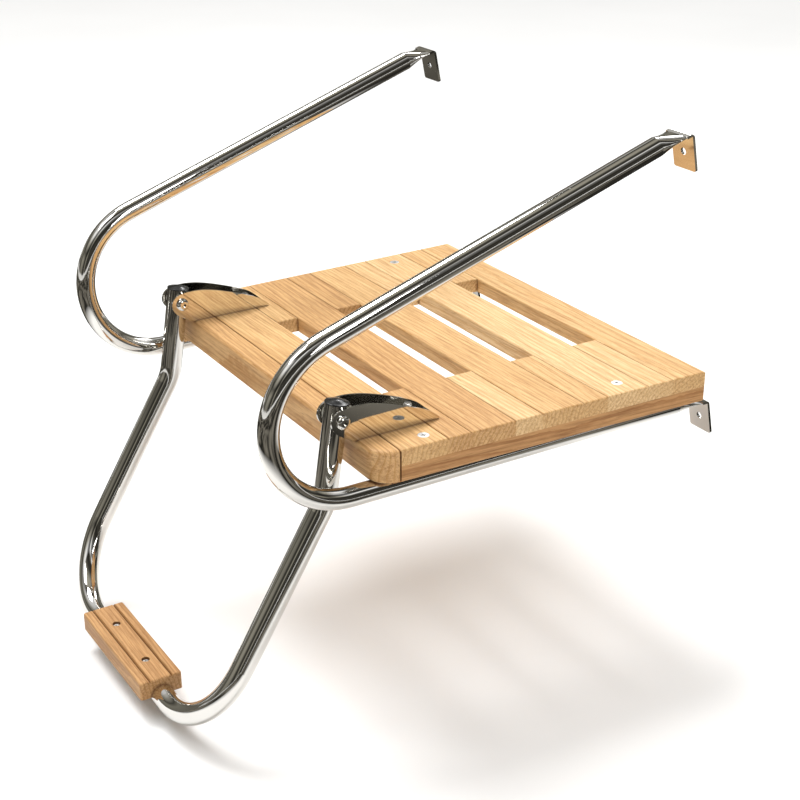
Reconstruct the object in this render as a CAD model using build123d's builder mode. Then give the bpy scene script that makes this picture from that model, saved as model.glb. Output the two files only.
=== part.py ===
from build123d import *
import os
from math import cos, radians, sin, tan

# Boat boarding ladder: a teak-slatted platform on two bent tube rails, with a folding one-step ladder.
# Frame: X across the boat, Y forward to the transom, Z up. The origin lies on the transom plane,
# midway between the two lower bolt holes. Millimetres.

# transom and mounting tabs
TRANSOM_RAKE = 11.5
TAB_WIDTH = 34.0
TAB_THICK = 3.0
TAB_DROP = 42.0
TAB_HOLE_R = 4.0
TAB_CORNER_R = 2.5
TAB_BEND_R = 5.0
UPPER_HOLE_DROP = 22.0
FLAT_LENGTH = 10.0
CRUSH_LENGTH = 28.0

# deck
DECK_TOP = 70.0
DECK_FRONT = -448.0
DECK_DEPTH = 422.0
DECK_HALF_FRONT = 254.0
DECK_HALF_REAR = 264.0
BOARD_THICK = 18.0
CLEAT_THICK = 18.0
CLEAT_INNER_X = 192.0
SPACER_INNER_X = 123.0
FRONT_BOARD_DEPTH = 27.0
FRONT_CORNER_R = 25.0
FRONT_ROUND = 5.0
BOARD_ROUND = 2.2
SLAT_SPANS = [(27, 83), (111, 166), (200, 254), (286, 342), (376, 422)]
SPACER_SPANS = [(83, 111), (166, 200), (254, 286), (342, 376)]

# rails
RAIL_R = 11.1
RAIL_WALL = 1.5
RAIL_X = 235.4
RAIL_BEND_R = 91.0
RAIL_BEND_Y = -470.0
RAIL_RISE = 19.0
RAIL_LEAN = 2.0

# hinge brackets
BRACKET_X = 195.0
BRACKET_GAP = 27.0
BRACKET_SHEET = 2.5
BRACKET_FRONT = -5.6
BRACKET_REAR = 100.0
CREST = [(93, 8.5), (82, 14.8), (65, 21.8), (47, 28.2), (28, 34.0), (14, 37.0), (0, 38.3), (-12, 37.8),
         (-21.5, 35.2), (-27.4, 29.0), (-28.4, 22.0), (-25.8, 15.6), (-18, 8.4)]
PIVOT_Y = -463.4
PIVOT_Z = 94.0
PIVOT_R = 4.0
PIVOT_CLEARANCE = 0.1
WASHER_THICK = 0.7
WASHER_R = 8.0

# ladder
POST_R = 12.7
POST_WALL = 1.5
POST_LEAN = 9.0
POST_ABOVE = 15.4
POST_BELOW = 95.0
LEG_LEAN = 31.2
LEG_LENGTH = 291.5
KNEE_R = 60.0
CORNER_R = 92.0
PLUG_R = 13.2
PLUG_RIM = 1.2
PLUG_DOME = 4.0
PLUG_STEM = 8.0
TREAD_LENGTH = 172.0
TREAD_WIDTH = 50.0
TREAD_THICK = 21.5
TREAD_ROUND = 3.0
TREAD_SCREW_X = 43.0
TREAD_BORE_R = 4.75
TREAD_BORE_DEPTH = 5.0
TREAD_GROOVE_Y = 13.0
TREAD_GROOVE_WIDTH = 3.2
TREAD_GROOVE_DEPTH = 2.4

# fasteners
DECK_BOLT_Y = [65.0, 318.0]
DECK_BOLT_R = 3.0
INSERT_R = 4.5
INSERT_TOP = 10.6
INSERT_LENGTH = 11.0
CLEAT_SCREW_X = 206.0
CLEAT_SCREW_R = 1.75
CLEAT_SCREW_LENGTH = 28.0
BRACKET_SCREW_Y = [30.0, 88.0]
BRACKET_SCREW_R = 2.1
STEP_SCREW_R = 2.4
HOLE_CLEARANCE = 0.1

# derived
RAKE_SIN = sin(radians(TRANSOM_RAKE))
RAKE_COS = cos(radians(TRANSOM_RAKE))
RISE_SIN = sin(radians(RAIL_RISE))
RISE_COS = cos(radians(RAIL_RISE))
LEAN_SIN = sin(radians(RAIL_LEAN))
LEAN_COS = cos(radians(RAIL_LEAN))
BOARD_BOTTOM = DECK_TOP - BOARD_THICK
CLEAT_BOTTOM = BOARD_BOTTOM - CLEAT_THICK
DECK_REAR = DECK_FRONT + DECK_DEPTH
RAIL_Z = CLEAT_BOTTOM - RAIL_R
LOWER_END_Y = -RAIL_Z * tan(radians(TRANSOM_RAKE))
LOWER_CRUSH_Y = LOWER_END_Y - FLAT_LENGTH - CRUSH_LENGTH
ARC_END_Y = RAIL_BEND_Y - RAIL_BEND_R * RISE_SIN
ARC_END_V = RAIL_BEND_R + RAIL_BEND_R * RISE_COS
RISE_SLOPE = RISE_SIN / RISE_COS
# the upper run meets the transom plane where Y = -Z tan(rake) and Z = RAIL_Z + v cos(lean)
UPPER_V = (ARC_END_V - RISE_SLOPE * (ARC_END_Y + RAIL_Z * RAKE_SIN / RAKE_COS)) / (
    1 + RISE_SLOPE * LEAN_COS * RAKE_SIN / RAKE_COS)
UPPER_END_Y = ARC_END_Y + (UPPER_V - ARC_END_V) / RISE_SLOPE
UPPER_RUN = (UPPER_END_Y - ARC_END_Y) / RISE_COS
UPPER_Z = RAIL_Z + UPPER_V * LEAN_COS
UPPER_X = RAIL_X + (UPPER_V - FLAT_LENGTH * RISE_SIN) * LEAN_SIN
LOWER_S = RAIL_Z / RAKE_COS
UPPER_S = UPPER_Z / RAKE_COS
POST_SIN = sin(radians(POST_LEAN))
POST_COS = cos(radians(POST_LEAN))
LEG_SIN = sin(radians(LEG_LEAN))
LEG_COS = cos(radians(LEG_LEAN))
TOP_Y = PIVOT_Y + POST_ABOVE * POST_SIN
TOP_Z = PIVOT_Z + POST_ABOVE * POST_COS
KNEE_Y = PIVOT_Y - POST_BELOW * POST_SIN
KNEE_Z = PIVOT_Z - POST_BELOW * POST_COS
FOOT_Y = KNEE_Y - LEG_LENGTH * LEG_SIN
FOOT_Z = KNEE_Z - LEG_LENGTH * LEG_COS
TREAD_BOTTOM = FOOT_Z + 0.2
TREAD_TOP = TREAD_BOTTOM + TREAD_THICK
TREAD_SEAT = TREAD_TOP - TREAD_BORE_DEPTH
EAR_OUT = BRACKET_GAP / 2 + BRACKET_SHEET
CLEAT_SCREW_Y = [(a + b) / 2 for a, b in SLAT_SPANS + SPACER_SPANS]

os.makedirs("parts", exist_ok=True)


def half_width(depth):
    return DECK_HALF_FRONT + (DECK_HALF_REAR - DECK_HALF_FRONT) * depth / DECK_DEPTH


def board_outline(near, far):
    return [(-half_width(near), DECK_FRONT + near), (half_width(near), DECK_FRONT + near),
            (half_width(far), DECK_FRONT + far), (-half_width(far), DECK_FRONT + far)]


def spacer_outline(near, far, side):
    return [(side * SPACER_INNER_X, DECK_FRONT + near), (side * half_width(near), DECK_FRONT + near),
            (side * half_width(far), DECK_FRONT + far), (side * SPACER_INNER_X, DECK_FRONT + far)]


def on_transom(along, out):
    return (-along * RAKE_SIN - out * RAKE_COS, along * RAKE_COS - out * RAKE_SIN)


def meet_transom(point, direction, out):
    # where a line in the YZ plane crosses the plane lying "out" millimetres outboard of the transom
    gap = -out - point[0] * RAKE_COS - point[1] * RAKE_SIN
    step = gap / (direction[0] * RAKE_COS + direction[1] * RAKE_SIN)
    return (point[0] + direction[0] * step, point[1] + direction[1] * step)


def tab_outline(start, direction, tab_end):
    # side view of the flattened tube end: a flat that folds down against the transom
    half = TAB_THICK / 2
    over = (start[0] - direction[1] * half, start[1] + direction[0] * half)
    under = (start[0] + direction[1] * half, start[1] - direction[0] * half)
    return [over, meet_transom(over, direction, 0), on_transom(tab_end, 0), on_transom(tab_end, TAB_THICK),
            meet_transom(under, direction, TAB_THICK), under]


def screw_points(side):
    return [(side * CLEAT_SCREW_X, DECK_FRONT + y) for y in CLEAT_SCREW_Y]


def bolt_points(side):
    return [(side * RAIL_X, DECK_FRONT + y) for y in DECK_BOLT_Y]


def drill(points, radius, top, bottom):
    with Locations(*[(x, y, (top + bottom) / 2) for x, y in points]):
        Cylinder(radius, top - bottom, mode=Mode.SUBTRACT)


def inside(points, near, far):
    return [p for p in points if near < p[1] - DECK_FRONT < far]


def board_holes(near, far, sides):
    # blind holes for the cleat screws, bracket screws and the deck bolts that fall in this board
    for side in sides:
        screws = inside(screw_points(side), near, far)
        if screws:
            drill(screws, CLEAT_SCREW_R + HOLE_CLEARANCE, CLEAT_BOTTOM + CLEAT_SCREW_LENGTH + 0.3,
                  BOARD_BOTTOM - 1)
        bolts = inside(bolt_points(side), near, far)
        if bolts:
            drill(bolts, DECK_BOLT_R + 0.2, DECK_TOP + 1, BOARD_BOTTOM - 1)
            with Locations(*[(x, y, DECK_TOP) for x, y in bolts]):
                with Locations((0, 0, -1.6)):
                    Cone(DECK_BOLT_R + 0.2, 6.6, 3.2 + 0.2, mode=Mode.SUBTRACT)
        rests = inside([(side * BRACKET_X, DECK_FRONT + y) for y in BRACKET_SCREW_Y], near, far)
        if rests:
            drill(rests, BRACKET_SCREW_R + HOLE_CLEARANCE, DECK_TOP + 1, DECK_TOP - 15.2)


def slat(near, far):
    with BuildPart() as board:
        with BuildSketch(Plane.XY.offset(BOARD_BOTTOM)):
            with BuildLine():
                Polyline(*board_outline(near, far), close=True)
            make_face()
        extrude(amount=BOARD_THICK)
        fillet(board.faces().sort_by(Axis.Z)[-1].edges(), BOARD_ROUND)
        board_holes(near, far, (-1, 1))
    return board


def spacer(near, far, side):
    with BuildPart() as block:
        with BuildSketch(Plane.XY.offset(BOARD_BOTTOM)):
            with BuildLine():
                Polyline(*spacer_outline(near, far, side), close=True)
            make_face()
        extrude(amount=BOARD_THICK)
        fillet(block.faces().sort_by(Axis.Z)[-1].edges(), BOARD_ROUND)
        board_holes(near, far, (side,))
    return block


# deck boards
with BuildPart() as front_board:
    with BuildSketch(Plane.XY.offset(CLEAT_BOTTOM)):
        with BuildLine():
            Polyline(*board_outline(0, FRONT_BOARD_DEPTH), close=True)
        make_face()
    extrude(amount=DECK_TOP - CLEAT_BOTTOM)
    fillet(front_board.edges().filter_by(Axis.Z).sort_by(Axis.Y)[:2], FRONT_CORNER_R)
    fillet(front_board.faces().sort_by(Axis.Z)[-1].edges().sort_by(Axis.Y)[:-1], FRONT_ROUND)
    fillet(front_board.faces().sort_by(Axis.Z)[0].edges().sort_by(Axis.Y)[:-1], 3.0)
    chamfer(front_board.faces().sort_by(Axis.Z)[-1].edges().sort_by(Axis.Y)[-1], BOARD_ROUND - 0.2)
front_board.part.label = "front_board"
export_step(front_board.part, "parts/front_board.step")

with BuildPart() as slat_1:
    add(slat(*SLAT_SPANS[0]).part)
slat_1.part.label = "slat_1"
export_step(slat_1.part, "parts/slat_1.step")

with BuildPart() as slat_2:
    add(slat(*SLAT_SPANS[1]).part)
slat_2.part.label = "slat_2"
export_step(slat_2.part, "parts/slat_2.step")

with BuildPart() as slat_3:
    add(slat(*SLAT_SPANS[2]).part)
slat_3.part.label = "slat_3"
export_step(slat_3.part, "parts/slat_3.step")

with BuildPart() as slat_4:
    add(slat(*SLAT_SPANS[3]).part)
slat_4.part.label = "slat_4"
export_step(slat_4.part, "parts/slat_4.step")

with BuildPart() as slat_5:
    add(slat(*SLAT_SPANS[4]).part)
slat_5.part.label = "slat_5"
export_step(slat_5.part, "parts/slat_5.step")

for index, span in enumerate(SPACER_SPANS, 1):
    for side_name, side_sign in (("right", 1), ("left", -1)):
        with BuildPart() as spacer_block:
            add(spacer(*span, side_sign).part)
        spacer_block.part.label = f"{side_name}_spacer_{index}"
        export_step(spacer_block.part, f"parts/{side_name}_spacer_{index}.step")

# side cleats under the boards
with BuildPart() as right_cleat:
    with BuildSketch(Plane.XY.offset(CLEAT_BOTTOM)):
        with BuildLine():
            Polyline((CLEAT_INNER_X, DECK_FRONT + FRONT_BOARD_DEPTH),
                     (half_width(FRONT_BOARD_DEPTH), DECK_FRONT + FRONT_BOARD_DEPTH),
                     (DECK_HALF_REAR, DECK_REAR), (CLEAT_INNER_X, DECK_REAR), close=True)
        make_face()
    extrude(amount=CLEAT_THICK)
    chamfer(right_cleat.faces().sort_by(Axis.Z)[0].edges().filter_by(Axis.X, reverse=True), 1.2)
    drill(screw_points(1), CLEAT_SCREW_R + HOLE_CLEARANCE, BOARD_BOTTOM + 1, CLEAT_BOTTOM - 1)
    with Locations(*[(x, y, CLEAT_BOTTOM + 1.3) for x, y in screw_points(1)]):
        Cone(4.2, CLEAT_SCREW_R + HOLE_CLEARANCE, 2.6, mode=Mode.SUBTRACT)
    drill(bolt_points(1), DECK_BOLT_R + 0.2, BOARD_BOTTOM + 1, CLEAT_BOTTOM - 1)
right_cleat.part.label = "right_cleat"
export_step(right_cleat.part, "parts/right_cleat.step")

with BuildPart() as left_cleat:
    mirror(right_cleat.part, about=Plane.YZ)
left_cleat.part.label = "left_cleat"
export_step(left_cleat.part, "parts/left_cleat.step")

# bent tube rails with crushed, folded and drilled ends
rail_plane = Plane(origin=(RAIL_X, 0, RAIL_Z), x_dir=(0, 1, 0), z_dir=(LEAN_COS, 0, -LEAN_SIN))
with BuildPart() as right_rail:
    with BuildLine(rail_plane) as rail_path:
        Line((LOWER_CRUSH_Y, 0), (RAIL_BEND_Y, 0))
        CenterArc((RAIL_BEND_Y, RAIL_BEND_R), RAIL_BEND_R, 270, RAIL_RISE - 180)
        Line((ARC_END_Y, ARC_END_V),
             (ARC_END_Y + (UPPER_RUN - FLAT_LENGTH - CRUSH_LENGTH) * RISE_COS,
              ARC_END_V + (UPPER_RUN - FLAT_LENGTH - CRUSH_LENGTH) * RISE_SIN))
    with BuildSketch(Plane(origin=rail_path.wires()[0] @ 0, z_dir=rail_path.wires()[0] % 0)):
        Circle(RAIL_R)
        Circle(RAIL_R - RAIL_WALL, mode=Mode.SUBTRACT)
    sweep(path=rail_path.wires()[0])
    lower_mouth = Plane(origin=(RAIL_X, LOWER_CRUSH_Y, RAIL_Z), x_dir=(1, 0, 0), z_dir=(0, 1, 0))
    lower_flat = lower_mouth.offset(CRUSH_LENGTH)
    upper_tangent = Vector(RISE_SIN * LEAN_SIN, RISE_COS, RISE_SIN * LEAN_COS)
    upper_start = Vector(RAIL_X + (UPPER_V - (FLAT_LENGTH + CRUSH_LENGTH) * RISE_SIN) * LEAN_SIN,
                         UPPER_END_Y - (FLAT_LENGTH + CRUSH_LENGTH) * RISE_COS,
                         UPPER_Z - (FLAT_LENGTH + CRUSH_LENGTH) * RISE_SIN * LEAN_COS)
    upper_mouth = Plane(origin=upper_start, x_dir=(LEAN_COS, 0, -LEAN_SIN), z_dir=upper_tangent)
    upper_flat = Plane(origin=upper_start + upper_tangent * CRUSH_LENGTH, x_dir=(1, 0, 0),
                       z_dir=(0, RISE_COS, RISE_SIN))
    for mouth, flat in ((lower_mouth, lower_flat), (upper_mouth, upper_flat)):
        with BuildSketch(mouth):
            Circle(RAIL_R)
        with BuildSketch(flat):
            Ellipse(TAB_WIDTH / 2, TAB_THICK / 2)
        loft()
    for start, direction, meet_s, centre_x, drop in (
            ((lower_flat.origin.Y, lower_flat.origin.Z), (1, 0), LOWER_S, RAIL_X, LOWER_S),
            ((upper_flat.origin.Y, upper_flat.origin.Z), (RISE_COS, RISE_SIN), UPPER_S, UPPER_X,
             UPPER_HOLE_DROP)):
        with BuildSketch(Plane.YZ.offset(centre_x)):
            with BuildLine():
                Polyline(*tab_outline(start, direction, meet_s - TAB_DROP), close=True)
            tab_side = make_face()
            fillet(tab_side.vertices().sort_by_distance(
                meet_transom(start, direction, 0))[0], TAB_BEND_R)
            fillet(tab_side.vertices().sort_by_distance(
                meet_transom(start, direction, TAB_THICK * 1.5))[0], TAB_BEND_R - TAB_THICK)
        extrude(amount=TAB_WIDTH / 2, both=True)
    fillet(right_rail.edges().filter_by(Axis((0, 0, 0), (0, RAKE_COS, RAKE_SIN))), TAB_CORNER_R)
    for hole_s, hole_x in ((0.0, RAIL_X), (UPPER_S - UPPER_HOLE_DROP, UPPER_X)):
        hole_y, hole_z = on_transom(hole_s, 0)
        with BuildSketch(Plane(origin=(hole_x, hole_y, hole_z), x_dir=(1, 0, 0),
                               z_dir=(0, RAKE_COS, RAKE_SIN))):
            Circle(TAB_HOLE_R)
        extrude(amount=6, both=True, mode=Mode.SUBTRACT)
    drill(bolt_points(1), INSERT_R + 0.05, CLEAT_BOTTOM + 1, RAIL_Z)
right_rail.part.label = "right_rail"
export_step(right_rail.part, "parts/right_rail.step")

with BuildPart() as left_rail:
    mirror(right_rail.part, about=Plane.YZ)
left_rail.part.label = "left_rail"
export_step(left_rail.part, "parts/left_rail.step")

# hinge brackets: folded channels with two ears
with BuildPart() as right_hinge_bracket:
    with BuildSketch(Plane(origin=(BRACKET_X, DECK_FRONT, DECK_TOP), x_dir=(0, 1, 0), z_dir=(1, 0, 0))):
        with BuildLine():
            Polyline((BRACKET_FRONT, 0), (BRACKET_REAR, 0), (BRACKET_REAR, 2.2))
            Spline((BRACKET_REAR, 2.2), *CREST, (BRACKET_FRONT, 0))
        make_face()
    extrude(amount=EAR_OUT, both=True)
    with BuildSketch(Plane.YZ.offset(BRACKET_X)):
        with BuildLine():
            Polyline((DECK_FRONT + BRACKET_FRONT, DECK_TOP - 5),
                     (DECK_FRONT + BRACKET_FRONT, DECK_TOP + BRACKET_SHEET),
                     (DECK_FRONT + 120, DECK_TOP + BRACKET_SHEET), (DECK_FRONT + 120, DECK_TOP + 60),
                     (DECK_FRONT - 60, DECK_TOP + 60), (DECK_FRONT - 60, DECK_TOP - 5), close=True)
        make_face()
    extrude(amount=BRACKET_GAP / 2, both=True, mode=Mode.SUBTRACT)
    with BuildSketch(Plane.YZ.offset(BRACKET_X)):
        with Locations((PIVOT_Y, PIVOT_Z)):
            Circle(PIVOT_R + PIVOT_CLEARANCE)
    extrude(amount=EAR_OUT + 1, both=True, mode=Mode.SUBTRACT)
    drill([(BRACKET_X, DECK_FRONT + y) for y in BRACKET_SCREW_Y], BRACKET_SCREW_R + HOLE_CLEARANCE,
          DECK_TOP + BRACKET_SHEET + 1, DECK_TOP - 1)
right_hinge_bracket.part.label = "right_hinge_bracket"
export_step(right_hinge_bracket.part, "parts/right_hinge_bracket.step")

with BuildPart() as left_hinge_bracket:
    mirror(right_hinge_bracket.part, about=Plane.YZ)
left_hinge_bracket.part.label = "left_hinge_bracket"
export_step(left_hinge_bracket.part, "parts/left_hinge_bracket.step")

# deck fasteners
with BuildPart() as bracket_screws:
    for screw_x in (-BRACKET_X, BRACKET_X):
        for screw_y in BRACKET_SCREW_Y:
            with BuildSketch(Plane.XY.offset(DECK_TOP + BRACKET_SHEET)):
                with Locations((screw_x, DECK_FRONT + screw_y)):
                    Circle(4.5)
            head = extrude(amount=2.3)
            fillet(head.edges().group_by(Axis.Z)[-1], 1.8)
            with BuildSketch(Plane.XY.offset(DECK_TOP + BRACKET_SHEET)):
                with Locations((screw_x, DECK_FRONT + screw_y)):
                    Circle(BRACKET_SCREW_R)
            extrude(amount=-(BRACKET_SHEET + 15.0))
            with BuildSketch(Plane.XY.offset(DECK_TOP + BRACKET_SHEET + 2.4)):
                with Locations((screw_x, DECK_FRONT + screw_y)):
                    Rectangle(4.6, 0.9)
                    Rectangle(0.9, 4.6)
            extrude(amount=-1.4, mode=Mode.SUBTRACT)
bracket_screws.part.label = "bracket_screws"
export_step(bracket_screws.part, "parts/bracket_screws.step")

with BuildPart() as cleat_screws:
    for screw_side in (-1, 1):
        for screw_x, screw_y in screw_points(screw_side):
            with Locations((screw_x, screw_y, CLEAT_BOTTOM + 1.25)):
                Cone(4.0, CLEAT_SCREW_R, 2.5)
            with BuildSketch(Plane.XY.offset(CLEAT_BOTTOM + 2.4)):
                with Locations((screw_x, screw_y)):
                    Circle(CLEAT_SCREW_R)
            extrude(amount=CLEAT_SCREW_LENGTH - 2.4)
            with BuildSketch(Plane.XY.offset(CLEAT_BOTTOM)):
                with Locations((screw_x, screw_y)):
                    Rectangle(4.0, 0.8)
                    Rectangle(0.8, 4.0)
            extrude(amount=1.2, mode=Mode.SUBTRACT)
cleat_screws.part.label = "cleat_screws"
export_step(cleat_screws.part, "parts/cleat_screws.step")

with BuildPart() as deck_bolts:
    for bolt_side in (-1, 1):
        for bolt_x, bolt_y in bolt_points(bolt_side):
            with Locations((bolt_x, bolt_y, DECK_TOP - 0.2 - 1.6)):
                Cone(DECK_BOLT_R, 6.2, 3.2)
            with BuildSketch(Plane.XY.offset(RAIL_Z)):
                with Locations((bolt_x, bolt_y)):
                    Circle(DECK_BOLT_R)
            extrude(amount=DECK_TOP - 3.2 - RAIL_Z)
            with BuildSketch(Plane.XY.offset(DECK_TOP)):
                with Locations((bolt_x, bolt_y)):
                    Rectangle(6.2, 1.1)
                    Rectangle(1.1, 6.2)
            extrude(amount=-2.2, mode=Mode.SUBTRACT)
deck_bolts.part.label = "deck_bolts"
export_step(deck_bolts.part, "parts/deck_bolts.step")

with BuildPart() as deck_bolt_nuts:
    for bolt_side in (-1, 1):
        for bolt_x, bolt_y in bolt_points(bolt_side):
            with BuildSketch(Plane.XY.offset(RAIL_Z + INSERT_TOP)):
                with Locations((bolt_x, bolt_y)):
                    Circle(INSERT_R)
                    Circle(DECK_BOLT_R + HOLE_CLEARANCE, mode=Mode.SUBTRACT)
            extrude(amount=-INSERT_LENGTH)
deck_bolt_nuts.part.label = "deck_bolt_nuts"
export_step(deck_bolt_nuts.part, "parts/deck_bolt_nuts.step")

# pivot hardware
with BuildPart() as right_pivot_bolt:
    with BuildSketch(Plane.YZ.offset(BRACKET_X - EAR_OUT - 8.0)):
        with Locations((PIVOT_Y, PIVOT_Z)):
            Circle(PIVOT_R)
    extrude(amount=2 * EAR_OUT + 8.0)
    with BuildSketch(Plane.YZ.offset(BRACKET_X + EAR_OUT)):
        with Locations((PIVOT_Y, PIVOT_Z)):
            Circle(7.5)
    bolt_head = extrude(amount=4.4)
    fillet(bolt_head.edges().group_by(Axis.X)[-1], 3.6)
    with BuildSketch(Plane.YZ.offset(BRACKET_X + EAR_OUT + 4.5)):
        with Locations((PIVOT_Y, PIVOT_Z)):
            RegularPolygon(2.9, 6)
    extrude(amount=-2.6, mode=Mode.SUBTRACT)
right_pivot_bolt.part.label = "right_pivot_bolt"
export_step(right_pivot_bolt.part, "parts/right_pivot_bolt.step")

with BuildPart() as left_pivot_bolt:
    add(right_pivot_bolt.part.moved(Location((-2 * BRACKET_X, 0, 0))))
left_pivot_bolt.part.label = "left_pivot_bolt"
export_step(left_pivot_bolt.part, "parts/left_pivot_bolt.step")

with BuildPart() as right_pivot_nut:
    with BuildSketch(Plane.YZ.offset(BRACKET_X - EAR_OUT)):
        with Locations((PIVOT_Y, PIVOT_Z)):
            RegularPolygon(7.5, 6)
    extrude(amount=-6.5)
    with BuildSketch(Plane.YZ.offset(BRACKET_X - EAR_OUT - 6.5)):
        with Locations((PIVOT_Y, PIVOT_Z)):
            Circle(6.3)
    nut_dome = extrude(amount=-5.5)
    fillet(nut_dome.edges().group_by(Axis.X)[0], 5.2)
    with BuildSketch(Plane.YZ.offset(BRACKET_X - EAR_OUT)):
        with Locations((PIVOT_Y, PIVOT_Z)):
            Circle(PIVOT_R + HOLE_CLEARANCE)
    extrude(amount=-9.0, mode=Mode.SUBTRACT)
right_pivot_nut.part.label = "right_pivot_nut"
export_step(right_pivot_nut.part, "parts/right_pivot_nut.step")

with BuildPart() as left_pivot_nut:
    add(right_pivot_nut.part.moved(Location((-2 * BRACKET_X, 0, 0))))
left_pivot_nut.part.label = "left_pivot_nut"
export_step(left_pivot_nut.part, "parts/left_pivot_nut.step")

with BuildPart() as pivot_washers:
    for washer_x in (-BRACKET_X, BRACKET_X):
        for washer_side in (-1, 1):
            with BuildSketch(Plane.YZ.offset(washer_x + washer_side * (POST_R + 0.05))):
                with Locations((PIVOT_Y, PIVOT_Z)):
                    Circle(WASHER_R)
                    Circle(PIVOT_R + PIVOT_CLEARANCE, mode=Mode.SUBTRACT)
            extrude(amount=washer_side * WASHER_THICK)
pivot_washers.part.label = "pivot_washers"
export_step(pivot_washers.part, "parts/pivot_washers.step")

# folding ladder
with BuildPart() as ladder_frame:
    with BuildLine() as frame_path:
        FilletPolyline((BRACKET_X, TOP_Y, TOP_Z), (BRACKET_X, KNEE_Y, KNEE_Z), (BRACKET_X, FOOT_Y, FOOT_Z),
                       (-BRACKET_X, FOOT_Y, FOOT_Z), (-BRACKET_X, KNEE_Y, KNEE_Z), (-BRACKET_X, TOP_Y, TOP_Z),
                       radius=[KNEE_R, CORNER_R, CORNER_R, KNEE_R])
    with BuildSketch(Plane(origin=(BRACKET_X, TOP_Y, TOP_Z), z_dir=(0, -POST_SIN, -POST_COS))):
        Circle(POST_R)
        Circle(POST_R - POST_WALL, mode=Mode.SUBTRACT)
    sweep(path=frame_path.wires()[0])
    with BuildSketch(Plane.YZ):
        with Locations((PIVOT_Y, PIVOT_Z)):
            Circle(PIVOT_R + PIVOT_CLEARANCE)
    extrude(amount=BRACKET_X + 20, both=True, mode=Mode.SUBTRACT)
    drill([(-TREAD_SCREW_X, FOOT_Y), (TREAD_SCREW_X, FOOT_Y)], STEP_SCREW_R + HOLE_CLEARANCE,
          FOOT_Z + POST_R + 1, FOOT_Z)
ladder_frame.part.label = "ladder_frame"
export_step(ladder_frame.part, "parts/ladder_frame.step")

plug_plane = Plane(origin=(BRACKET_X, TOP_Y, TOP_Z), x_dir=(1, 0, 0), z_dir=(0, -POST_COS, POST_SIN))
with BuildPart() as right_tube_plug:
    with BuildSketch(plug_plane):
        with BuildLine():
            Polyline((0, PLUG_DOME), (0, -PLUG_STEM), (POST_R - POST_WALL - 0.1, -PLUG_STEM),
                     (POST_R - POST_WALL - 0.1, 0), (PLUG_R, 0), (PLUG_R, PLUG_RIM * 0.5))
            Spline((PLUG_R, PLUG_RIM * 0.5), (PLUG_R - 1.0, PLUG_RIM + 0.2), (0, PLUG_DOME),
                   tangents=((0, 1), (-1, 0)))
        make_face()
    revolve(axis=Axis((BRACKET_X, TOP_Y, TOP_Z), (0, POST_SIN, POST_COS)))
right_tube_plug.part.label = "right_tube_plug"
export_step(right_tube_plug.part, "parts/right_tube_plug.step")

with BuildPart() as left_tube_plug:
    mirror(right_tube_plug.part, about=Plane.YZ)
left_tube_plug.part.label = "left_tube_plug"
export_step(left_tube_plug.part, "parts/left_tube_plug.step")

with BuildPart() as step_tread:
    with BuildSketch(Plane.XY.offset(TREAD_BOTTOM)):
        with Locations((0, FOOT_Y)):
            Rectangle(TREAD_LENGTH, TREAD_WIDTH)
    extrude(amount=TREAD_THICK)
    fillet(step_tread.edges().filter_by(Axis.Z), TREAD_ROUND)
    fillet(step_tread.faces().sort_by(Axis.Z)[-1].edges(), TREAD_ROUND - 0.5)
    with BuildSketch(Plane.YZ):
        with Locations((FOOT_Y, FOOT_Z)):
            Circle(POST_R)
    extrude(amount=TREAD_LENGTH, both=True, mode=Mode.SUBTRACT)
    for groove_y in (-TREAD_GROOVE_Y, TREAD_GROOVE_Y):
        with BuildSketch(Plane.YZ):
            with BuildLine():
                Polyline((FOOT_Y + groove_y - TREAD_GROOVE_WIDTH / 2, TREAD_TOP),
                         (FOOT_Y + groove_y - TREAD_GROOVE_WIDTH / 2, TREAD_TOP + 1),
                         (FOOT_Y + groove_y + TREAD_GROOVE_WIDTH / 2, TREAD_TOP + 1),
                         (FOOT_Y + groove_y + TREAD_GROOVE_WIDTH / 2, TREAD_TOP),
                         (FOOT_Y + groove_y, TREAD_TOP - TREAD_GROOVE_DEPTH), close=True)
            make_face()
        extrude(amount=TREAD_LENGTH, both=True, mode=Mode.SUBTRACT)
    drill([(-TREAD_SCREW_X, FOOT_Y), (TREAD_SCREW_X, FOOT_Y)], TREAD_BORE_R, TREAD_TOP + 1, TREAD_SEAT)
    drill([(-TREAD_SCREW_X, FOOT_Y), (TREAD_SCREW_X, FOOT_Y)], STEP_SCREW_R + HOLE_CLEARANCE,
          TREAD_TOP + 1, FOOT_Z)
step_tread.part.label = "step_tread"
export_step(step_tread.part, "parts/step_tread.step")

with BuildPart() as step_screws:
    for screw_x in (-TREAD_SCREW_X, TREAD_SCREW_X):
        with BuildSketch(Plane.XY.offset(TREAD_SEAT)):
            with Locations((screw_x, FOOT_Y)):
                Circle(4.3)
        screw_head = extrude(amount=2.8)
        fillet(screw_head.edges().group_by(Axis.Z)[-1], 1.6)
        with BuildSketch(Plane.XY.offset(TREAD_SEAT)):
            with Locations((screw_x, FOOT_Y)):
                Circle(STEP_SCREW_R)
        extrude(amount=-14.0)
        with BuildSketch(Plane.XY.offset(TREAD_SEAT + 2.9)):
            with Locations((screw_x, FOOT_Y)):
                Rectangle(4.6, 0.9)
                Rectangle(0.9, 4.6)
        extrude(amount=-1.5, mode=Mode.SUBTRACT)
step_screws.part.label = "step_screws"
export_step(step_screws.part, "parts/step_screws.step")
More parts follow.
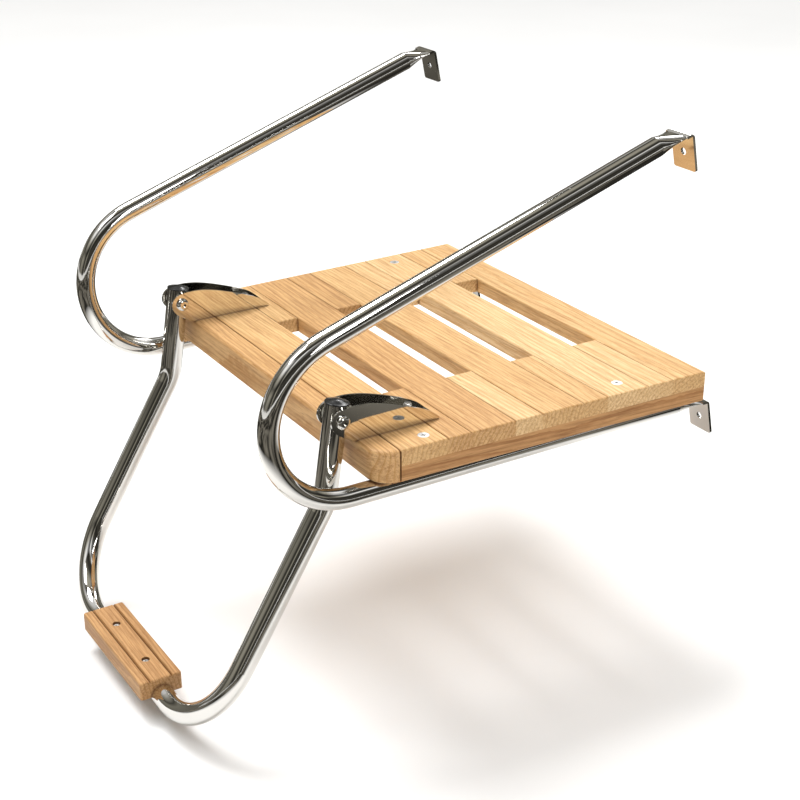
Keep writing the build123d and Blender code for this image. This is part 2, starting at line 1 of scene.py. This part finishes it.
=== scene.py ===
import bpy
from math import pi, radians
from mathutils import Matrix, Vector


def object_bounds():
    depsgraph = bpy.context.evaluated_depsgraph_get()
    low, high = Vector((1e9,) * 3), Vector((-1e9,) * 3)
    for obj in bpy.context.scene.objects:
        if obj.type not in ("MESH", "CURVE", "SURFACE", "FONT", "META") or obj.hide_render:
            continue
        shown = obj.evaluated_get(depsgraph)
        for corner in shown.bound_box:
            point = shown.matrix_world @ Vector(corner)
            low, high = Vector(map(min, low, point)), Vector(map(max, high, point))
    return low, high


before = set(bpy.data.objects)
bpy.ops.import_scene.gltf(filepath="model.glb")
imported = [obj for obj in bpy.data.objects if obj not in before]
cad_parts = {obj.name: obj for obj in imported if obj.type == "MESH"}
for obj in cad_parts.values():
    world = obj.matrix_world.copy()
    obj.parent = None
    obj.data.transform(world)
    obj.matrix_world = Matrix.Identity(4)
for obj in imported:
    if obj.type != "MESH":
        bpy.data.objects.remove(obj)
cad_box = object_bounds()
scene = bpy.context.scene


def srgb(r, g, b):
    out = []
    for value in (r, g, b):
        v = value / 255
        out.append(v / 12.92 if v <= 0.04045 else ((v + 0.055) / 1.055) ** 2.4)
    return (*out, 1.0)


class Graph:
    """A small helper that adds and links shader nodes."""

    def __init__(self, name):
        self.material = bpy.data.materials.new(name)
        self.material.use_nodes = True
        self.tree = self.material.node_tree
        self.shader = self.tree.nodes["Principled BSDF"]

    def node(self, kind, inputs=(), **settings):
        made = self.tree.nodes.new(kind)
        for key, value in settings.items():
            setattr(made, key, value)
        for socket, value in dict(inputs).items():
            if isinstance(value, bpy.types.NodeSocket):
                self.tree.links.new(value, made.inputs[socket])
            else:
                made.inputs[socket].default_value = value
        return made

    def ramp(self, factor, stops):
        made = self.node("ShaderNodeValToRGB", {"Fac": factor})
        ramp = made.color_ramp
        while len(ramp.elements) < len(stops):
            ramp.elements.new(0.5)
        for element, (place, colour) in zip(ramp.elements, stops):
            element.position = place
            element.color = colour
        return made.outputs["Color"]

    def mix(self, factor, a, b, mode="MIX"):
        made = self.node("ShaderNodeMix", data_type="RGBA", blend_type=mode)
        for socket, value in ((made.inputs[0], factor), (made.inputs[6], a), (made.inputs[7], b)):
            if isinstance(value, bpy.types.NodeSocket):
                self.tree.links.new(value, socket)
            else:
                socket.default_value = value
        return made.outputs[2]

    def math(self, operation, a, b=0.0):
        return self.node("ShaderNodeMath", {0: a, 1: b}, operation=operation).outputs[0]

    def feed(self, socket, value):
        if isinstance(value, bpy.types.NodeSocket):
            self.tree.links.new(value, self.shader.inputs[socket])
        else:
            self.shader.inputs[socket].default_value = value


def teak(name, seed, pale, deep, dark, along="X", tilt=0.02, depth=0.05):
    """Sawn teak as a solid texture: growth rings round a far-off pith, with streaks along the grain."""
    g = Graph(name)
    place = g.node("ShaderNodeTexCoord").outputs["Object"]
    turn = (0.0, 0.0, 0.0) if along == "X" else (0.0, 0.0, pi / 2)
    lined = g.node("ShaderNodeMapping", {"Vector": place, "Rotation": turn}).outputs[0]
    shift = (seed * 0.37, -0.09 + (seed * 0.061) % 0.18, depth + (seed * 0.017) % 0.05)
    lean = (0.0, tilt, tilt * (1.0 if seed % 2 else -1.3))
    log = g.node("ShaderNodeMapping", {"Vector": lined, "Location": shift, "Rotation": lean}).outputs[0]
    drift = g.node("ShaderNodeTexNoise", {
        "Vector": g.node("ShaderNodeMapping", {"Vector": log, "Scale": (3.0, 14.0, 14.0)}).outputs[0],
        "Scale": 1.0, "Detail": 2.0}).outputs["Color"]
    pull = g.node("ShaderNodeVectorMath", {0: drift, 1: (0.5, 0.5, 0.5)}, operation="SUBTRACT").outputs[0]
    pull = g.node("ShaderNodeVectorMath", {0: pull, 3: 0.022}, operation="SCALE").outputs[0]
    warped = g.node("ShaderNodeVectorMath", {0: log, 1: pull}, operation="ADD").outputs[0]
    rings = g.node("ShaderNodeTexWave", {"Vector": warped, "Scale": 62.0, "Distortion": 1.2, "Detail": 2.0,
                                         "Detail Scale": 1.5}, wave_type="RINGS", rings_direction="X",
                   wave_profile="SAW").outputs["Fac"]
    broad = g.node("ShaderNodeTexNoise", {
        "Vector": g.node("ShaderNodeMapping", {"Vector": log, "Scale": (2.0, 30.0, 30.0)}).outputs[0],
        "Scale": 1.0, "Detail": 3.0}).outputs["Fac"]
    streak = g.node("ShaderNodeTexNoise", {
        "Vector": g.node("ShaderNodeMapping", {"Vector": log, "Scale": (12.0, 420.0, 420.0)}).outputs[0],
        "Scale": 1.0, "Detail": 4.0, "Roughness": 0.65}).outputs["Fac"]
    pores = g.node("ShaderNodeTexNoise", {
        "Vector": g.node("ShaderNodeMapping", {"Vector": log, "Scale": (55.0, 1500.0, 1500.0)}).outputs[0],
        "Scale": 1.0, "Detail": 1.0}).outputs["Fac"]
    base = g.ramp(rings, ((0.0, pale), (0.5, pale), (0.9, deep), (1.0, pale)))
    base = g.mix(g.ramp(broad, ((0.35, (0, 0, 0, 1)), (0.7, (0.5, 0.5, 0.5, 1)))), base, deep)
    base = g.mix(g.ramp(streak, ((0.42, (0, 0, 0, 1)), (0.70, (0.75, 0.75, 0.75, 1)))), base, dark)
    pored = g.ramp(pores, ((0.60, (0, 0, 0, 1)), (0.72, (0.6, 0.6, 0.6, 1))))
    base = g.mix(pored, base, dark)
    # painted shade: ambient occlusion darkens the grooves and joints between boards towards dark brown
    hollow = g.node("ShaderNodeAmbientOcclusion", {"Distance": 0.007}, samples=8).outputs["AO"]
    painted_groove_shade = g.ramp(hollow, ((0.40, (0.85, 0.85, 0.85, 1)), (0.80, (0, 0, 0, 1))))
    base = g.mix(painted_groove_shade, base, srgb(92, 54, 26))
    g.feed("Base Color", base)
    g.feed("Roughness", g.ramp(streak, ((0.2, (0.42, 0.42, 0.42, 1)), (0.8, (0.62, 0.62, 0.62, 1)))))
    relief = g.math("ADD", g.math("MULTIPLY", streak, 0.6), g.math("MULTIPLY", pored, -0.5))
    bump = g.node("ShaderNodeBump", {"Height": relief, "Strength": 0.3, "Distance": 0.0006}).outputs[0]
    g.feed("Normal", bump)
    g.shader.inputs["Specular IOR Level"].default_value = 0.35
    return g.material


def polished(name, tone, low, high, wave=0.06):
    """Buffed stainless: mirror-like, with faint polishing lines, smears and a very slight ripple."""
    g = Graph(name)
    place = g.node("ShaderNodeTexCoord").outputs["Object"]
    smear = g.node("ShaderNodeTexNoise", {"Vector": place, "Scale": 22.0, "Detail": 4.0}).outputs["Fac"]
    lines = g.node("ShaderNodeTexNoise", {
        "Vector": g.node("ShaderNodeMapping", {"Vector": place, "Scale": (900.0, 60.0, 60.0)}).outputs[0],
        "Scale": 1.0, "Detail": 3.0}).outputs["Fac"]
    g.feed("Base Color", g.ramp(smear, ((0.3, tuple(c * 0.93 for c in tone[:3]) + (1,)), (0.7, tone))))
    g.shader.inputs["Metallic"].default_value = 1.0
    g.feed("Roughness", g.ramp(g.math("ADD", g.math("MULTIPLY", smear, 0.6), g.math("MULTIPLY", lines, 0.4)),
                               ((0.3, (low, low, low, 1)), (0.75, (high, high, high, 1)))))
    ripple = g.node("ShaderNodeTexNoise", {"Vector": place, "Scale": 30.0, "Detail": 1.0}).outputs["Fac"]
    g.feed("Normal", g.node("ShaderNodeBump", {"Height": ripple, "Strength": wave,
                                               "Distance": 0.002}).outputs[0])
    return g.material


def moulded(name, tone, worn, low, high):
    """Moulded plastic with a faint orange-peel surface and handling marks."""
    g = Graph(name)
    place = g.node("ShaderNodeTexCoord").outputs["Object"]
    marks = g.node("ShaderNodeTexNoise", {"Vector": place, "Scale": 160.0, "Detail": 5.0}).outputs["Fac"]
    peel = g.node("ShaderNodeTexNoise", {"Vector": place, "Scale": 900.0, "Detail": 1.0}).outputs["Fac"]
    g.feed("Base Color", g.ramp(marks, ((0.4, tone), (0.8, worn))))
    g.feed("Roughness", g.ramp(marks, ((0.3, (low, low, low, 1)), (0.8, (high, high, high, 1)))))
    g.feed("Normal", g.node("ShaderNodeBump", {"Height": peel, "Strength": 0.08,
                                               "Distance": 0.0002}).outputs[0])
    return g.material


def wear(name, material):
    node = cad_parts[name]
    node.data.materials.clear()
    node.data.materials.append(material)
    return node


# wood: every board is cut from its own place in the log
TOP = (srgb(226, 188, 134), srgb(202, 156, 98), srgb(160, 112, 62))
PALE = (srgb(233, 200, 150), srgb(212, 170, 114), srgb(172, 124, 74))
WARM = (srgb(216, 174, 120), srgb(190, 142, 86), srgb(148, 100, 54))
RED = (srgb(200, 150, 96), srgb(170, 118, 68), srgb(130, 84, 44))
boards = {
    "front_board": (WARM, 3), "slat_1": (TOP, 8), "slat_2": (WARM, 5), "slat_3": (TOP, 12),
    "slat_4": (PALE, 7), "slat_5": (TOP, 16),
    "right_spacer_1": (WARM, 21), "right_spacer_2": (PALE, 24), "right_spacer_3": (TOP, 29),
    "right_spacer_4": (PALE, 34), "left_spacer_1": (TOP, 37), "left_spacer_2": (WARM, 41),
    "left_spacer_3": (PALE, 46), "left_spacer_4": (TOP, 51),
}
for board, (tones, seed) in boards.items():
    wear(board, teak(f"teak_{board}", seed, *tones))
for cleat, seed in (("right_cleat", 61), ("left_cleat", 66)):
    wear(cleat, teak(f"teak_{cleat}", seed, *RED, along="Y"))
wear("step_tread", teak("teak_step_tread", 71, srgb(200, 156, 104), srgb(174, 126, 78), srgb(134, 90, 50),
                        depth=0.07))

# metal and plastic
mirror = polished("mirror_stainless", (0.80, 0.785, 0.75, 1), 0.035, 0.075)
bright = polished("bright_stainless", (0.86, 0.85, 0.83, 1), 0.30, 0.45, wave=0.03)
black = moulded("black_moulding", (0.006, 0.006, 0.006, 1), (0.02, 0.02, 0.02, 1), 0.16, 0.32)
milky = moulded("natural_nylon", srgb(222, 220, 210), srgb(205, 202, 190), 0.35, 0.55)
for metal in ("right_rail", "left_rail", "right_hinge_bracket", "left_hinge_bracket", "ladder_frame",
              "right_pivot_bolt", "left_pivot_bolt", "right_pivot_nut", "left_pivot_nut"):
    wear(metal, mirror)
for metal in ("bracket_screws", "cleat_screws", "deck_bolts", "deck_bolt_nuts", "step_screws"):
    wear(metal, bright)
wear("right_tube_plug", black)
wear("left_tube_plug", black)
wear("pivot_washers", milky)

# small rounded edges where a sharp CAD edge would catch no light
for name, size in (("right_hinge_bracket", 0.0005), ("left_hinge_bracket", 0.0005),
                   ("right_cleat", 0.0008), ("left_cleat", 0.0008), ("step_tread", 0.0008)):
    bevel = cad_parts[name].modifiers.new("edge", "BEVEL")
    bevel.width = size
    bevel.segments = 2
    bevel.limit_method = "ANGLE"
    bevel.angle_limit = radians(50)

# floor and backdrop
floor_z = cad_box[0][2] - 0.012
mesh = bpy.data.meshes.new("floor")
mesh.from_pydata([(-14, -14, floor_z), (14, -14, floor_z), (14, 14, floor_z), (-14, 14, floor_z)], [],
                 [(0, 1, 2, 3)])
floor = bpy.data.objects.new("floor", mesh)
scene.collection.objects.link(floor)
g = Graph("pale_floor")
place = g.node("ShaderNodeTexCoord").outputs["Object"]
mottle = g.node("ShaderNodeTexNoise", {"Vector": place, "Scale": 1.5, "Detail": 2.0}).outputs["Fac"]
g.feed("Base Color", g.ramp(mottle, ((0.3, (0.90, 0.90, 0.90, 1)), (0.7, (0.93, 0.93, 0.93, 1)))))
g.shader.inputs["Roughness"].default_value = 0.9
g.shader.inputs["Specular IOR Level"].default_value = 0.1
mesh.materials.append(g.material)


def aim(obj, target):
    obj.rotation_euler = (Vector(target) - obj.location).to_track_quat("-Z", "Y").to_euler()


def soft_light(name, place, target, size, power, size_y=None, tone=(1, 1, 1)):
    data = bpy.data.lights.new(name, "AREA")
    data.shape = "RECTANGLE"
    data.size = size
    data.size_y = size_y or size
    data.energy = power
    data.color = tone
    lamp = bpy.data.objects.new(name, data)
    lamp.location = place
    scene.collection.objects.link(lamp)
    aim(lamp, target)
    return lamp


soft_light("key", (-0.6, -1.9, 2.6), (0, -0.3, 0), 1.1, 16)
soft_light("side", (2.4, -0.2, 1.2), (0, -0.3, 0.1), 0.35, 14, size_y=1.4)
soft_light("back", (-1.6, 1.4, 1.7), (0, -0.3, 0.1), 0.9, 12, size_y=0.4)
fill = soft_light("fill", (0.0, -0.3, 3.2), (0, -0.3, 0), 5.0, 95)
fill.visible_glossy = False
sun_data = bpy.data.lights.new("open_sky", "SUN")
sun_data.energy = 2.1
sun_data.angle = radians(24)
sun = bpy.data.objects.new("open_sky", sun_data)
sun.location = (-1.3, -0.1, 2.4)
scene.collection.objects.link(sun)
aim(sun, (0.0, 0.0, 0.0))

# a dark card on the floor that only polished metal sees, as in a studio
card_z = floor_z + 0.002
card_mesh = bpy.data.meshes.new("dark_card")
card_mesh.from_pydata([(-4, -4, card_z), (4, -4, card_z), (4, 4, card_z), (-4, 4, card_z)], [],
                      [(0, 1, 2, 3)])
card = bpy.data.objects.new("dark_card", card_mesh)
card.visible_camera = False
card.visible_diffuse = False
card.visible_shadow = False
card.visible_transmission = False
scene.collection.objects.link(card)
g = Graph("dark_card")
spot = g.node("ShaderNodeTexCoord").outputs["Object"]
patches = g.node("ShaderNodeTexNoise", {"Vector": spot, "Scale": 2.2, "Detail": 1.0}).outputs["Fac"]
flat = g.node("ShaderNodeVectorMath", {0: spot, 1: (0.0, 0.33, -card_z)}, operation="ADD").outputs[0]
reach = g.node("ShaderNodeVectorMath", {0: flat}, operation="LENGTH").outputs["Value"]
reach = g.math("MULTIPLY", reach, 0.25)
shade = g.ramp(patches, ((0.42, (0.015, 0.014, 0.012, 1)), (0.62, (0.14, 0.13, 0.11, 1))))
outer = g.ramp(reach, ((0.13, (0, 0, 0, 1)), (0.19, (1, 1, 1, 1))))
g.feed("Base Color", g.mix(outer, (0.8, 0.8, 0.8, 1), shade))
g.shader.inputs["Roughness"].default_value = 1.0
g.shader.inputs["Specular IOR Level"].default_value = 0.0
card_mesh.materials.append(g.material)

# surroundings: a pale room with dark stretches, so that polished metal shows both
world = bpy.data.worlds.new("studio")
scene.world = world
world.use_nodes = True
tree = world.node_tree
tree.nodes.clear()
coord = tree.nodes.new("ShaderNodeTexCoord")
split = tree.nodes.new("ShaderNodeSeparateXYZ")
tree.links.new(coord.outputs["Generated"], split.inputs[0])


def world_ramp(source, stops):
    span = tree.nodes.new("ShaderNodeMapRange")
    span.inputs["From Min"].default_value = -1.0
    tree.links.new(source, span.inputs["Value"])
    made = tree.nodes.new("ShaderNodeValToRGB")
    while len(made.color_ramp.elements) < len(stops):
        made.color_ramp.elements.new(0.5)
    for element, (place, value) in zip(made.color_ramp.elements, stops):
        element.position = place
        element.color = (*value, 1) if isinstance(value, tuple) else (value, value, value, 1)
    tree.links.new(span.outputs["Result"], made.inputs["Fac"])
    return made.outputs["Color"]


height = world_ramp(split.outputs["Z"], (
    (0.0, 0.9), (0.485, 0.9), (0.505, (0.20, 0.19, 0.16)), (0.62, (0.30, 0.285, 0.235)),
    (0.68, (0.10, 0.095, 0.08)), (0.76, (0.42, 0.40, 0.34)), (0.83, 1.0), (0.88, 1.0),
    (0.91, (0.12, 0.11, 0.09)), (1.0, (0.38, 0.36, 0.30))))
across = world_ramp(split.outputs["X"], (
    (0.0, 0.5), (0.20, 0.65), (0.27, 0.12), (0.36, 0.9), (0.50, 1.0), (0.58, 0.5), (0.64, 0.06),
    (0.74, 0.05), (0.77, 1.0), (0.80, 0.9), (0.83, 0.06)))
blend = tree.nodes.new("ShaderNodeMix")
blend.data_type = "RGBA"
blend.blend_type = "MULTIPLY"
blend.inputs[0].default_value = 0.9
tree.links.new(height, blend.inputs[6])
tree.links.new(across, blend.inputs[7])
sky = tree.nodes.new("ShaderNodeBackground")
sky.inputs["Strength"].default_value = 1.1
tree.links.new(blend.outputs[2], sky.inputs["Color"])
out = tree.nodes.new("ShaderNodeOutputWorld")
tree.links.new(sky.outputs[0], out.inputs["Surface"])

# camera, where the fitted view of the object puts it
CAMERA_PLACE = Vector((1.4245, -1.1435, 0.7514))
CAMERA_AIM = Vector((-0.7750, 0.4773, -0.4142))
camera_data = bpy.data.cameras.new("camera")
camera = bpy.data.objects.new("camera", camera_data)
scene.collection.objects.link(camera)
camera_data.sensor_width = 36.0
camera_data.lens = 68.77
camera.location = CAMERA_PLACE
aim(camera, CAMERA_PLACE + CAMERA_AIM)
scene.camera = camera
scene.view_settings.view_transform = "Standard"
